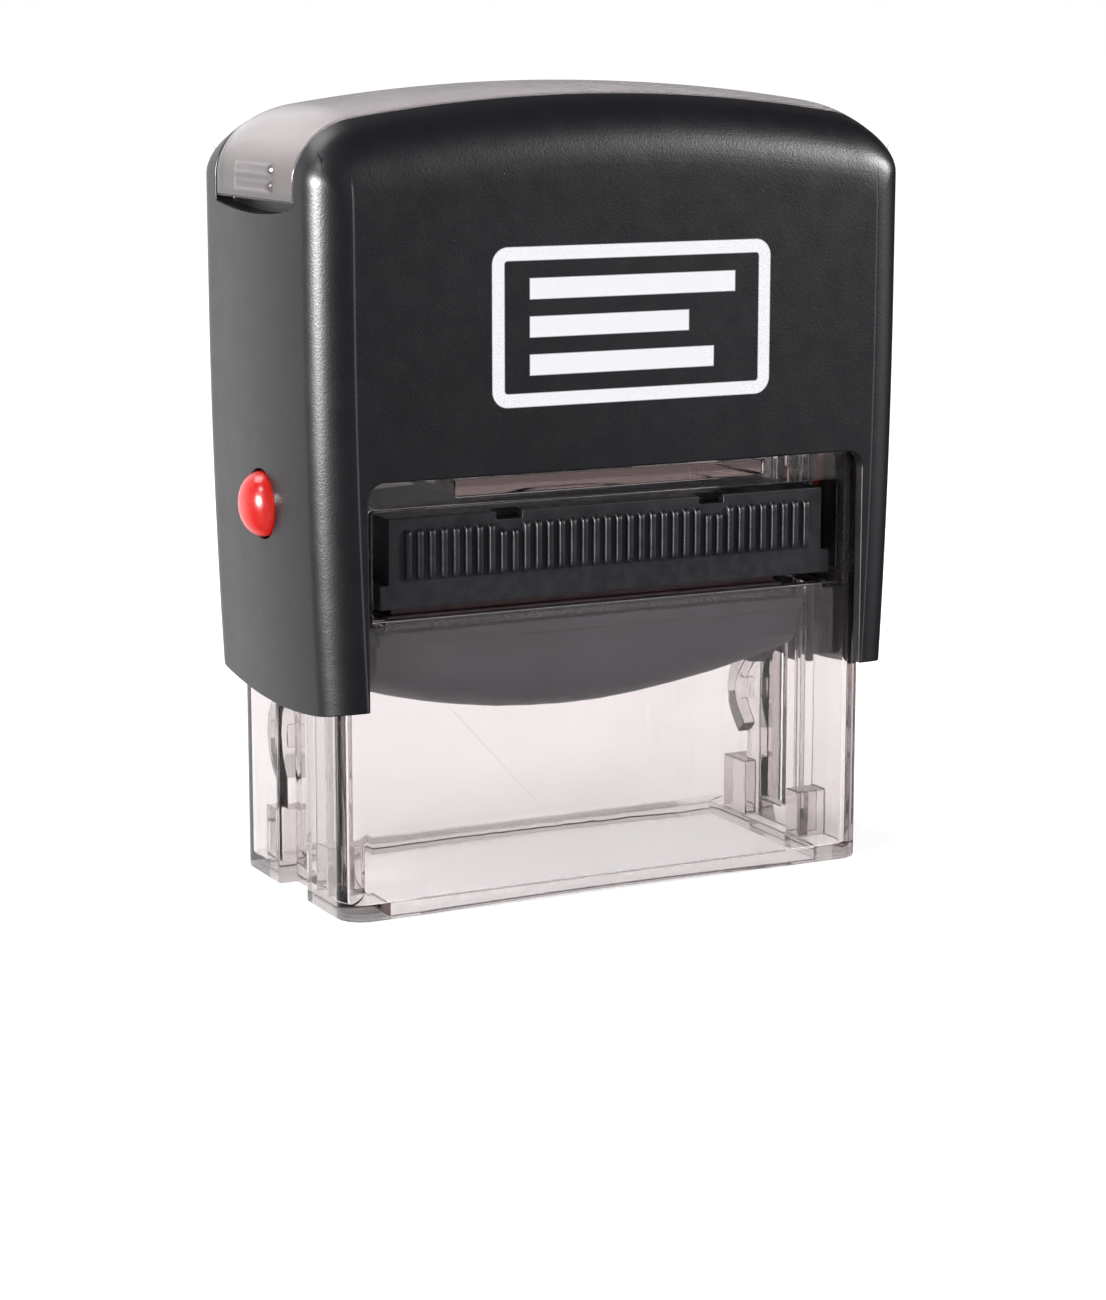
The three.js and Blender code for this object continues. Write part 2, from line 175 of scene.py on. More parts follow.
# The same values on the other side of zero as well, from the lowest to the highest.
def mirrored(values):
    return np.concatenate([-values[:0:-1], values])


def quads(index):
    corners = [index[:-1, :-1], index[:-1, 1:], index[1:, 1:], index[1:, :-1]]
    return np.stack(corners, -1)


# A wall of quads between two rows of points, one for one.
def wall(first, second):
    return np.stack([first[:-1], first[1:], second[1:], second[:-1]], -1)


# The four edges of a grid of indices.
def edges(index):
    return [index[0], index[-1], index[:, 0], index[:, -1]]


def meshOf(name, points, faces, smoothBelow=30):
    mesh = bpy.data.meshes.new(name)
    mesh.from_pydata((points * mm).tolist(), [], faces)
    cleaner = bmesh.new()
    cleaner.from_mesh(mesh)
    loose = [v for v in cleaner.verts if not v.link_faces]
    bmesh.ops.delete(cleaner, geom=loose, context="VERTS")
    bmesh.ops.remove_doubles(cleaner, verts=cleaner.verts, dist=tolerance["weld"])
    bmesh.ops.recalc_face_normals(cleaner, faces=cleaner.faces)
    cleaner.to_mesh(mesh)
    cleaner.free()
    shade(mesh, smoothBelow)
    return mesh


def shade(mesh, smoothBelow):
    mesh.polygons.foreach_set("use_smooth", [True] * len(mesh.polygons))
    mesh.set_sharp_from_angle(angle=math.radians(smoothBelow))


def place(name, mesh, body, replaced, finish):
    piece = bpy.data.objects.new(name, mesh)
    bpy.context.scene.collection.objects.link(piece)
    mesh.materials.clear()
    mesh.materials.append(finish)
    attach(piece, body)
    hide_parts(replaced)
    return piece


# flatness says how strongly the large faces decide the normals beside them.
def bevel(piece, width, segments=2, limit=30, flatness=100):
    rounding = piece.modifiers.new("rounded edges", "BEVEL")
    rounding.width = width * mm
    rounding.segments = segments
    rounding.limit_method = "ANGLE"
    rounding.angle_limit = math.radians(limit)
    rounding.use_clamp_overlap = False
    rounding.harden_normals = True
    rounding.miter_outer = "MITER_ARC"
    flats = piece.modifiers.new("flat faces stay flat", "WEIGHTED_NORMAL")
    flats.keep_sharp = True
    flats.weight = flatness
    return piece


# A CAD node's own shape with its flat faces merged into convex ones, ready for rounded
# edges. What stands further forward than frontmost is pressed flat, and added joins the copy.
def cleanCopy(node, smoothBelow=30, frontmost=None, added=None):
    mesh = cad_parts[node].data.copy()
    if frontmost is not None:
        spots = np.zeros(len(mesh.vertices) * 3, np.float32)
        mesh.vertices.foreach_get("co", spots)
        spots[1::3] = np.maximum(spots[1::3], frontmost * mm)
        mesh.vertices.foreach_set("co", spots)
    cleaner = bmesh.new()
    cleaner.from_mesh(mesh)
    bmesh.ops.remove_doubles(cleaner, verts=cleaner.verts, dist=tolerance["cadWeld"])
    bmesh.ops.dissolve_degenerate(cleaner, dist=tolerance["sliver"], edges=cleaner.edges)
    bmesh.ops.dissolve_limit(
        cleaner,
        angle_limit=math.radians(tolerance["flat"]),
        verts=cleaner.verts,
        edges=cleaner.edges,
    )
    bmesh.ops.connect_verts_concave(cleaner, faces=cleaner.faces)
    if added is not None:
        cleaner.from_mesh(added)
    cleaner.to_mesh(mesh)
    cleaner.free()
    shade(mesh, smoothBelow)
    return mesh


# ---- the cap's outer form -----------------------------------------------------------

form = {
    "halfWidth": 27.5,
    "halfDepth": 13.2,
    "corner": 3.1,
    "leastCorner": 0.7,
    "taperStart": 50.0,
    "taperLength": 32.0,
    "taperDepth": 0.8,
    "crownHeight": 7.8,
    "crownPower": 2.8,
    "archRadius": 145.0,
    "shoulderX": 21.3,
    "shoulderHeight": 60.4,
    "shoulderRadius": 6.2,
    "shoulderTurn": math.radians(81.6),
    "leastRise": 1.6,
    "sinkStart": 50.0,
}


# How far the section across the cap has drawn in at depth y. The sides follow a round
# corner; the crown follows height * (1 - (1 - (|y| / halfDepth) ** power) ** (1 / power)).
def drawIn(y, inset):
    halfDepth = form["halfDepth"] - inset
    corner = max(form["corner"] - inset, form["leastCorner"])
    past = np.clip(np.abs(y) - (halfDepth - corner), 0, corner)
    side = corner - np.sqrt(corner**2 - past**2)
    share = 1 - np.clip(np.abs(y) / halfDepth, 0, 1) ** form["crownPower"]
    crown = (form["crownHeight"] - inset) * (1 - share ** (1 / form["crownPower"]))
    return side, crown


# The cap's skin sunk by an inset, one row for each depth y and one column for each step
# from the right side's foot over the crown to the left side's foot. The side stands at
# halfWidth less a taper that grows with the square of the drop below taperStart; the
# shoulder turns by x = shoulderX + radius * cos, z = shoulderHeight + radius * sin; the
# arch then rises by (start ** 2 - x ** 2) / (2 * archRadius) to the middle. Near the front
# and back faces the shoulder's foot sinks, so that its turn never rises less than leastRise.
def skin(y, sideY, sideZ, turns, shares, inset, proud=0.0):
    side, crown = (v[:, None] for v in drawIn(y, inset))
    radius = form["shoulderRadius"] - inset
    sunk = np.clip(crown - radius + form["leastRise"], 0, None)
    upper = (sideZ - form["sinkStart"]) / (form["shoulderHeight"] - form["sinkStart"])
    sideZ = sideZ - sunk * np.clip(upper, 0, 1) ** 2
    drop = np.clip(form["taperStart"] - sideZ, 0, None) / form["taperLength"]
    sideX = form["halfWidth"] - inset - form["taperDepth"] * drop**2 - side
    bendX = form["shoulderX"] + (radius - side) * np.cos(turns)
    bendZ = form["shoulderHeight"] - sunk + (radius - crown + sunk) * np.sin(turns)
    archX = bendX[:, -1:] * (1 - shares)
    archZ = bendZ[:, -1:] + (bendX[:, -1:] ** 2 - archX**2) / (2 * form["archRadius"])
    x = np.hstack([sideX, bendX, archX]) + proud
    z = np.hstack([sideZ, bendZ, archZ])
    rest = np.broadcast_to(y[:, None], (len(y), bendX.shape[1] + archX.shape[1]))
    half = np.stack([x, np.hstack([sideY, rest]), z], -1)
    return np.concatenate([half, half[:, -2::-1] * [-1, 1, 1]], 1)


# ---- cap shell ----------------------------------------------------------------------

cap = {
    "wall": 1.15,
    "hemLowest": 16.8,
    "hemCentreY": -1.5,
    "hemRadius": 60.0,
    "cutHalfWidth": 23.3,
    "cutTop": 36.7,
    "cutCorner": 1.5,
    "cutSteps": 8,
    "recessHalfDepth": 8.6,
    "recessFloor": 1.7,
    "recessEnd": 57.7,
    "recessArch": 0.7,
    "holeRadius": 2.95,
    "holeHeight": 33.7,
    "rowCounts": [5, 3, 12, 3, 10, 4],
    "depthCounts": [6, 3, 4, 2],
    "cornerSteps": 14,
    "turnSteps": 16,
    "archSteps": 28,
    "edge": 0.14,
}


# A square of grid lines is drawn onto a circle: a point on the square ring of half-width h
# goes to the circle of radius h, fully at the hole's edge and not at all at twice its radius.
def roundTheHole(y, z):
    up = z - cap["holeHeight"]
    ring = np.maximum(np.abs(y), np.abs(up)) / cap["holeRadius"]
    length = np.maximum(np.hypot(y, up), 1e-9)
    pull = 1 + np.clip(2 - ring, 0, 1) * (ring * cap["holeRadius"] / length - 1)
    return y * pull, cap["holeHeight"] + up * pull


def capShell():
    inner = form["halfDepth"] - form["corner"]
    hole = cap["holeRadius"]
    flat = spaced([0, hole, 2 * hole, cap["recessHalfDepth"], inner], cap["depthCounts"])
    bends = np.linspace(0, math.pi / 2, cap["cornerSteps"] + 1)[1:]
    y = mirrored(np.concatenate([flat, inner + form["corner"] * np.sin(bends)]))

    hem = cap["hemLowest"] + cap["hemRadius"]
    hem = hem - np.sqrt(cap["hemRadius"] ** 2 - (y - cap["hemCentreY"]) ** 2)
    lip = cap["recessEnd"] + cap["recessArch"] * (y / cap["recessHalfDepth"]) ** 2
    level = np.ones_like(y)
    middle = cap["holeHeight"]
    stops = np.stack(
        [hem]
        + [(middle + step * hole) * level for step in (-2, -1, 1, 2)]
        + [lip, form["shoulderHeight"] * level],
        1,
    )
    along = spaced(range(len(cap["rowCounts"]) + 1), cap["rowCounts"])
    at = np.minimum(along.astype(int), len(cap["rowCounts"]) - 1)
    sideZ = stops[:, at] * (1 - (along - at)) + stops[:, at + 1] * (along - at)
    sideY, sideZ = roundTheHole(np.broadcast_to(y[:, None], sideZ.shape), sideZ)
    turns = np.linspace(0, form["shoulderTurn"], cap["turnSteps"] + 1)[1:]
    shares = np.linspace(0, 1, cap["archSteps"] + 1)[1:]
    outside = skin(y, sideY, sideZ, turns, shares, 0)
    floor = skin(y, sideY, sideZ, turns, shares, cap["recessFloor"])

    rows, columns = outside.shape[:2]
    index = np.arange(rows * columns).reshape(rows, columns)
    deep = np.abs(y) < cap["recessHalfDepth"] + 1e-6
    lipColumn = sum(cap["rowCounts"][:5])
    recess = np.ix_(np.flatnonzero(deep), np.arange(lipColumn, columns - lipColumn))
    kept = np.ones((rows - 1, columns - 1), bool)
    deepCells = np.flatnonzero(deep[:-1] & deep[1:])
    kept[deepCells[0] : deepCells[-1] + 1, lipColumn : columns - 1 - lipColumn] = False
    narrow = np.abs(y) < hole + 1e-6
    holeCells = np.flatnonzero(narrow[:-1] & narrow[1:])
    low, high = sum(cap["rowCounts"][:2]), sum(cap["rowCounts"][:3])
    for first, last in ((low, high), (columns - 1 - high, columns - 1 - low)):
        kept[holeCells[0] : holeCells[-1] + 1, first:last] = False

    sunk = index[recess] + rows * columns
    faces = quads(index)[kept].tolist() + quads(sunk).reshape(-1, 4).tolist()
    for rim, bottom in zip(edges(index[recess]), edges(sunk)):
        faces += wall(rim, bottom).tolist()

    points = [outside.reshape(-1, 3), floor.reshape(-1, 3)]
    arc = np.linspace(0, math.pi / 2, cap["cutSteps"])
    cutX = cap["cutHalfWidth"] - cap["cutCorner"] + cap["cutCorner"] * np.cos(arc)
    cutZ = cap["cutTop"] - cap["cutCorner"] + cap["cutCorner"] * np.sin(arc)
    for row in (0, rows - 1):
        x = np.concatenate([[cap["cutHalfWidth"]], cutX, -cutX[::-1], [-cap["cutHalfWidth"]]])
        z = np.concatenate([[hem[row]], cutZ, cutZ[::-1], [hem[row]]])
        first = sum(map(len, points))
        points.append(np.stack([x, np.full_like(x, y[row]), z], -1))
        faces.append(index[row].tolist() + list(range(first + len(x) - 1, first - 1, -1)))
    return meshOf("cap shell", np.concatenate(points), faces, 35)


# ---- window and card ----------------------------------------------------------------

window = {
    "halfDepth": 8.3,
    "end": 58.8,
    "thickness": 1.0,
    "gripHeights": [60.0, 61.4],
    "gripHalfDepth": 4.0,
    "gripHalfHeight": 0.42,
    "gripProud": 0.25,
    "gripEdge": 0.35,
    "gripFade": 0.3,
    "ridgeTop": 0.8,
    "ridgeStart": 1.15,
    "ridgeSlope": 0.9,
    "turnSplit": 18,
    "edge": 0.16,
}
card = {"halfDepth": 7.8, "end": 59.4, "outer": 1.2, "inner": 1.45}


# A bent plate between two insets of the cap's skin.
def bentPlate(name, y, sideZ, turns, shares, outer, inner, proud=0.0):
    sideY = np.broadcast_to(y[:, None], (len(y), len(sideZ)))
    sideZ = np.broadcast_to(sideZ, sideY.shape)
    top = skin(y, sideY, sideZ, turns, shares, outer, proud)
    under = skin(y, sideY, sideZ, turns, shares, inner)
    index = np.arange(top.shape[0] * top.shape[1]).reshape(top.shape[:2])
    below = index + index.size
    faces = quads(index).reshape(-1, 4).tolist() + quads(below).reshape(-1, 4).tolist()
    for upper, lower in zip(edges(index), edges(below)):
        faces += wall(upper, lower).tolist()
    return meshOf(name, np.concatenate([top.reshape(-1, 3), under.reshape(-1, 3)]), faces)


def indexWindow():
    grip = window["gripHalfDepth"]
    stops = [0, grip - window["gripEdge"], grip, window["halfDepth"]]
    y = mirrored(spaced(stops, [6, 3, 8]))
    sideZ = spaced([window["end"], form["shoulderHeight"]], [16])
    split, last = window["turnSplit"], math.degrees(form["shoulderTurn"])
    turns = np.radians(spaced([0, split, last], [18, 24]))[1:]
    shares = np.linspace(0, 1, 37)[1:]
    heights = form["shoulderHeight"] + form["shoulderRadius"] * np.sin(turns)
    over = np.full(len(shares), np.inf)
    heights = np.concatenate([sideZ, heights, over])
    # Each grip is a ridge with a flat top and sloping flanks.
    away = [np.abs(heights - middle) / window["gripHalfHeight"] for middle in window["gripHeights"]]
    flanks = [window["ridgeStart"] - window["ridgeSlope"] * one for one in away]
    ridge = sum(np.clip(one, 0, window["ridgeTop"]) for one in flanks)
    across = np.clip((grip - np.abs(y)) / window["gripFade"], 0, 1)
    proud = window["gripProud"] / window["ridgeTop"] * across[:, None] * ridge
    return bentPlate(
        "index window", y, sideZ, turns, shares, 0.0, window["thickness"], proud
    )


def indexCard():
    y = mirrored(np.linspace(0, card["halfDepth"], 9))
    sideZ = spaced([card["end"], form["shoulderHeight"]], [4])
    turns = np.linspace(0, form["shoulderTurn"], 25)[1:]
    shares = np.linspace(0, 1, 29)[1:]
    return bentPlate("index card", y, sideZ, turns, shares, card["outer"], card["inner"])


# ---- lock buttons and spring --------------------------------------------------------

button = {
    "height": 33.7,
    "radius": 2.75,
    "pinRadius": 1.2,
    "pinEnd": 23.6,
    "flangeInner": 25.35,
    "flangeOuter": 25.8,
    "flangeHalfDepth": 2.9,
    "flangeHalfHeight": 4.2,
    "domeStart": 27.1,
    "domeEnd": 29.0,
    "domeSteps": 14,
    "sides": 56,
}
spring = {
    "radius": 4.3,
    "wire": 0.55,
    "low": 37.13,
    "high": 61.94,
    "turns": 8,
    "steps": 40,
    "closed": 0.75,
    "closedRise": 0.22,
    "wireSides": 12,
}


# A turned body round the X axis: the dome's radius falls as cos ** 0.8 while its height
# grows as sin. The flange bar behind the cap's wall is a plain block.
def lockButton(name, side):
    rise = np.linspace(0, math.pi / 2, button["domeSteps"])
    radius = button["radius"] * np.clip(np.cos(rise), 0, 1) ** 0.8
    reach = button["domeStart"] + (button["domeEnd"] - button["domeStart"]) * np.sin(rise)
    foot = [(0, "pinEnd"), ("pinRadius", "pinEnd"), ("pinRadius", "flangeInner")]
    foot += [("radius", "flangeInner")]
    footRadius = [button[r] if r else 0.0 for r, _ in foot]
    radius = np.concatenate([footRadius, radius])
    reach = np.concatenate([[button[x] for _, x in foot], reach])
    turn = np.linspace(0, 2 * math.pi, button["sides"] + 1)
    across = radius[:, None] * np.cos(turn)
    up = button["height"] + radius[:, None] * np.sin(turn)
    points = np.stack([np.broadcast_to(side * reach[:, None], up.shape), across, up], -1)
    index = np.arange(up.size).reshape(up.shape)
    faces = quads(index).reshape(-1, 4).tolist()
    corner = np.array([(x, y, z) for x in (0, 1) for y in (-1, 1) for z in (-1, 1)], float)
    bar = np.stack(
        [
            side * np.where(corner[:, 0] > 0, button["flangeOuter"], button["flangeInner"]),
            corner[:, 1] * button["flangeHalfDepth"],
            button["height"] + corner[:, 2] * button["flangeHalfHeight"],
        ],
        -1,
    )
    sides = [(0, 1, 3, 2), (4, 5, 7, 6), (0, 1, 5, 4), (2, 3, 7, 6), (0, 2, 6, 4), (1, 3, 7, 5)]
    faces += (np.array(sides) + up.size).tolist()
    return meshOf(name, np.concatenate([points.reshape(-1, 3), bar]), faces, 40)


# A round wire along a helix: x = radius * cos, y = radius * sin, and the height rises
# evenly except over the closed part of the first and last turn, where it levels out.
def mainSpring():
    along = np.linspace(0, spring["turns"], spring["turns"] * spring["steps"] + 1)
    low, high = spring["closed"], spring["turns"] - spring["closed"]
    ends = np.clip(along, 0, low) + np.clip(along, high, None)
    free = np.clip(along, low, high) + spring["closedRise"] * ends
    share = (free - free[0]) / (free[-1] - free[0])
    turn = 2 * math.pi * along
    centre = np.stack(
        [
            spring["radius"] * np.cos(turn),
            spring["radius"] * np.sin(turn),
            spring["low"] + (spring["high"] - spring["low"]) * share,
        ],
        -1,
    )
    ahead = np.gradient(centre, axis=0)
    ahead /= np.linalg.norm(ahead, axis=1, keepdims=True)
    outwards = np.stack([np.cos(turn), np.sin(turn), np.zeros_like(turn)], -1)
    aside = np.cross(ahead, outwards)
    around = np.linspace(0, 2 * math.pi, spring["wireSides"] + 1)[:-1]
    ring = np.cos(around)[None, :, None] * outwards[:, None]
    ring = ring + np.sin(around)[None, :, None] * aside[:, None]
    points = (centre[:, None] + spring["wire"] * ring).reshape(-1, 3)
    index = np.arange(len(points)).reshape(len(along), len(around))
    faces = quads(np.hstack([index, index[:, :1]])).reshape(-1, 4).tolist()
    faces += [index[0].tolist(), index[-1][::-1].tolist()]
    return meshOf("main spring", points, faces, 50)


# ---- cartridge ribs -----------------------------------------------------------------

ribs = {
    "count": 36,
    "pitch": 1.08,
    "halfWidth": 0.3,
    "low": 28.2,
    "high": 32.4,
    "root": -10.85,
    "front": -11.34,
    "notchAt": 9.6,
    "notchHalf": 1.3,
    "notchTop": 31.85,
    "acrossSteps": 11,
    "alongSteps": 17,
}


# Each rib stands out by depth * (1 - u ** 6) ** 0.5 * (1 - v ** 16) ** 0.5, with u across it
# and v along it, both from -1 to 1.
def ribMesh():
    u = np.sin(np.linspace(-math.pi / 2, math.pi / 2, ribs["acrossSteps"]))
    v = np.sin(np.linspace(-math.pi / 2, math.pi / 2, ribs["alongSteps"]))
    out = np.sqrt(1 - u[:, None] ** 6) * np.sqrt(1 - v**16)
    middle = (np.arange(ribs["count"]) - (ribs["count"] - 1) / 2) * ribs["pitch"]
    short = np.abs(np.abs(middle) - ribs["notchAt"]) < ribs["notchHalf"]
    top = np.where(short, ribs["notchTop"], ribs["high"])[:, None, None]
    x = middle[:, None, None] + ribs["halfWidth"] * u[:, None]
    z = (top + ribs["low"]) / 2 + (top - ribs["low"]) / 2 * v
    y = ribs["root"] + (ribs["front"] - ribs["root"]) * out
    spots = np.stack(np.broadcast_arrays(x, y, z), -1)
    index = np.arange(spots[..., 0].size).reshape(spots.shape[:3])
    faces = [face for one in index for face in quads(one).reshape(-1, 4).tolist()]
    return meshOf("ribs", spots.reshape(-1, 3), faces, 50)


# ---- materials ----------------------------------------------------------------------

mark = {
    "centreX": 0.75,
    "centreZ": 48.7,
    "halfX": 13.0,
    "halfZ": 6.5,
    "corner": 1.4,
    "line": 0.55,
    "bars": [(3.1, -9.6, 9.6), (0.0, -9.6, 5.2), (-3.1, -9.6, 7.6)],
    "barHalf": 0.85,
    "soft": 0.06,
    "faceY": (-13.12, -12.9),
}
crease = {
    "x": 24.3,
    "halfWidth": (0.03, 0.11),
    "faceY": (12.9, 13.1),
    "topZ": (59.5, 61.5),
}
# The sides are very slightly barrelled from front to back: this times y * y, in bump heights.
sideBarrel = 0.4


# One inside the printed mark: a line round a rounded rectangle and three bars in it.
def printedMark(at):
    x, z = at.x - mark["centreX"], at.z - mark["centreZ"]
    pastX = abs(x) - (mark["halfX"] - mark["corner"])
    pastZ = abs(z) - (mark["halfZ"] - mark["corner"])
    outX, outZ = pastX.atLeast(0.0), pastZ.atLeast(0.0)
    reach = (outX * outX + outZ * outZ) ** 0.5 + pastX.atLeast(pastZ).atMost(0.0)
    fromLine = abs(reach - (mark["corner"] - mark["line"]))
    inside = 1 - fromLine.ramp(mark["line"] - mark["soft"], mark["line"] + mark["soft"])
    for height, left, right in mark["bars"]:
        wide = abs(x - (left + right) / 2) - (right - left) / 2
        tall = abs(z - height) - mark["barHalf"]
        bar = 1 - wide.atLeast(tall).ramp(-mark["soft"], mark["soft"])
        inside = inside.atLeast(bar)
    return inside * (1 - at.y.ramp(*mark["faceY"]))


# The thin line where the front face meets the rounded corner, on the front and the back. The bump
# dents along it, and the colour is lifted along it as a painted highlight.
def creaseLineAndHighlight(at):
    drop = ((form["taperStart"] - at.z) / form["taperLength"]).atLeast(0.0)
    away = abs(abs(at.x) + form["taperDepth"] * drop * drop - crease["x"])
    near = 1 - away.ramp(*crease["halfWidth"])
    onFace = abs(at.y).ramp(*crease["faceY"])
    return near * onFace * (1 - at.z.ramp(*crease["topZ"]))


def capBlack(at):
    printed = printedMark(at)
    creaseAndHighlight = creaseLineAndHighlight(at)
    cloudy = at.noise(0.11, 3).ramp(0.3, 0.7)
    plastic = cloudy.between(rgb(0.0080, 0.0074, 0.0112), rgb(0.0098, 0.0091, 0.0134))
    # Lighter grey along the crease line: a painted highlight.
    plastic = (creaseAndHighlight * 0.5).between(plastic, rgb(0.10, 0.10, 0.12))
    worn = printed * at.noise(3.0, 3).ramp(0.1, 0.3, 0.9, 1.0)
    grain = at.noise(5.5, 2) * 0.7 + at.noise(1.6, 2) * 0.3
    barrel = at.y * at.y * sideBarrel
    return {
        "Base Color": worn.between(plastic, rgb(0.86, 0.86, 0.89)),
        "Roughness": at.noise(0.5, 4).ramp(0.3, 0.7, 0.345, 0.375) + printed * 0.15,
        "Normal": (grain + printed * 0.25 - creaseAndHighlight * 1.5 - barrel).bump(0.022 * mm, 0.8),
    }


def blackPlastic(low, high, grain, rough):
    def varied(at):
        cloudy = at.noise(0.2, 3).ramp(0.3, 0.7)
        return {
            "Base Color": cloudy.between(low, high),
            "Roughness": at.noise(0.9, 3).ramp(0.3, 0.7, rough - 0.05, rough + 0.07),
            "Normal": at.noise(grain, 2).bump(0.018 * mm, 0.7),
        }

    return varied


def redPlastic(at):
    cloudy = at.noise(0.6, 2).ramp(0.3, 0.7)
    return {
        "Base Color": cloudy.between(rgb(0.80, 0.010, 0.006), rgb(0.86, 0.018, 0.010)),
        "Roughness": at.noise(1.4, 3).ramp(0.3, 0.7, 0.20, 0.30),
        "Normal": at.noise(3.0, 2).bump(0.006 * mm, 0.6),
    }


def smokeClear(at):
    cloudy = at.noise(0.12, 2).ramp(0.3, 0.7)
    return {
        "Base Color": cloudy.between(rgb(0.910, 0.887, 0.890), rgb(0.925, 0.903, 0.905)),
        "Roughness": at.noise(0.7, 3).ramp(0.35, 0.75, 0.01, 0.045),
        "Normal": at.noise(0.22, 2).bump(0.03 * mm, 0.5),
    }


def windowClear(at):
    cloudy = at.noise(0.15, 2).ramp(0.3, 0.7)
    over = cloudy.between(rgb(0.66, 0.62, 0.635), rgb(0.70, 0.66, 0.675))
    return {
        # Below the shoulder's turn, the window's end is painted darker than its top: painted shade.
        "Base Color": at.z.ramp(60.5, 64.5).between(rgb(0.30, 0.27, 0.275), over),
        "Roughness": at.noise(0.8, 3).ramp(0.3, 0.7, 0.10, 0.17),
        "Normal": at.noise(0.5, 3).bump(0.02 * mm, 0.5),
    }


def cardPaper(at):
    fibres = at.noise(2.4, 4, (0.35, 1.6, 1.0))
    return {
        "Base Color": fibres.ramp(0.3, 0.7).between(
            rgb(0.66, 0.58, 0.50), rgb(0.72, 0.64, 0.56)
        ),
        "Roughness": at.noise(1.0, 2).ramp(0.3, 0.7, 0.82, 0.92),
        "Normal": fibres.bump(0.03 * mm, 0.6),
    }


def springSteel(at):
    drawn = at.noise(1.5, 3, (1.0, 1.0, 3.0))
    return {
        "Base Color": drawn.ramp(0.3, 0.7).between(
            rgb(0.42, 0.42, 0.44), rgb(0.58, 0.58, 0.60)
        ),
        "Roughness": drawn.ramp(0.3, 0.7, 0.24, 0.38),
        "Normal": at.noise(6.0, 2).bump(0.01 * mm, 0.5),
    }


def softBlack(at):
    fibres = at.noise(3.2, 5)
    return {
        "Base Color": fibres.ramp(0.3, 0.7).between(
            rgb(0.006, 0.006, 0.010), rgb(0.03, 0.03, 0.04)
        ),
        "Roughness": at.noise(1.0, 2).ramp(0.3, 0.7, 0.86, 0.97),
        "Normal": fibres.bump(0.15 * mm, 0.9),
    }


def greyFoam(at):
    cells = at.noise(4.5, 4)
    return {
        "Base Color": cells.ramp(0.35, 0.65).between(
            rgb(0.035, 0.035, 0.04), rgb(0.11, 0.11, 0.12)
        ),
        "Roughness": at.noise(1.2, 2).ramp(0.3, 0.7, 0.85, 0.95),
        "Normal": cells.bump(0.12 * mm, 0.9),
    }


def darkRubber(at):
    dusty = at.noise(0.8, 4)
    return {
        "Base Color": dusty.ramp(0.3, 0.7).between(
            rgb(0.060, 0.034, 0.036), rgb(0.085, 0.048, 0.050)
        ),
        "Roughness": at.noise(1.6, 3).ramp(0.3, 0.7, 0.55, 0.7),
        "Normal": at.noise(4.0, 3).bump(0.02 * mm, 0.7),
    }


clear = {"IOR": 1.5, "Transmission Weight": 0.99}
finishes = {
    "cap_black": material("cap black", {"IOR": 1.46}, capBlack),
    "inner_black": material(
        "yoke black",
        {"IOR": 1.46},
        blackPlastic(rgb(0.014, 0.014, 0.017), rgb(0.020, 0.020, 0.024), 4.0, 0.5),
    ),
    "tray_black": material(
        "cartridge black",
        {"IOR": 1.5, "Specular IOR Level": 0.32},
        blackPlastic(rgb(0.016, 0.016, 0.021), rgb(0.022, 0.022, 0.029), 5.0, 0.40),
    ),
    "platen_black": material(
        "platen black",
        {"IOR": 1.48},
        blackPlastic(rgb(0.044, 0.038, 0.050), rgb(0.056, 0.050, 0.064), 4.5, 0.50),
    ),
    "button_red": material("button red", {"Coat Weight": 0.4, "Coat Roughness": 0.12}, redPlastic),
    "clear_smoke": material("clear smoke", clear, smokeClear),
    "window_clear": material(
        "window clear", {"IOR": 1.48, "Transmission Weight": 0.72}, windowClear
    ),
    "card_paper": material("card paper", {}, cardPaper),
    "spring_steel": material("spring steel", {"Metallic": 1.0}, springSteel),
    "ink_felt": material("ink felt", {}, softBlack),
    "foam_grey": material("foam grey", {}, greyFoam),
    "die_rubber": material("die rubber", {}, darkRubber),
}

absorption = {"colour": (0.46, 0.37, 0.37, 1.0), "density": 140.0}
smokeTree = finishes["clear_smoke"].node_tree
smoke = Flow(smokeTree).node(
    "ShaderNodeVolumeAbsorption",
    {},
    {"Color": absorption["colour"], "Density": absorption["density"]},
)
smokeTree.links.new(smoke.socket, smokeTree.nodes["Material Output"].inputs["Volume"])
print("materials made")


# ---- pieces -------------------------------------------------------------------------

shell = place("cap_shell_look", capShell(), "cap", "cap_shell", finishes["cap_black"])
thick = shell.modifiers.new("wall", "SOLIDIFY")
thick.thickness = cap["wall"] * mm
thick.offset = -1
thick.use_even_offset = True
bevel(shell, cap["edge"], 3, 40, 50)
print("cap shell placed")

pane = place(
    "index_window_look", indexWindow(), "window", "index_window",
    finishes["window_clear"],
)
bevel(pane, window["edge"], 3, 50)
place("index_card_look", indexCard(), "cap", "index_card", finishes["card_paper"])
print("window and card placed")

for side, word in ((-1, "left"), (1, "right")):
    body = "button_" + word
    node = "lock_button_" + word
    knob = place(
        node + "_look", lockButton(node, side), body, node, finishes["button_red"]
    )
    bevel(knob, 0.1, 2, 50)
coil = place(
    "main_spring_look", mainSpring(), "frame", "main_spring",
    finishes["spring_steel"],
)
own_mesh(coil)
print("buttons and spring placed")

tray = place(
    "cartridge_tray_look",
    cleanCopy("cartridge_tray", 30, -10.9, ribMesh()),
    "ink_cartridge", "cartridge_tray", finishes["tray_black"],
)
bevel(tray, 0.09, 2, 55)

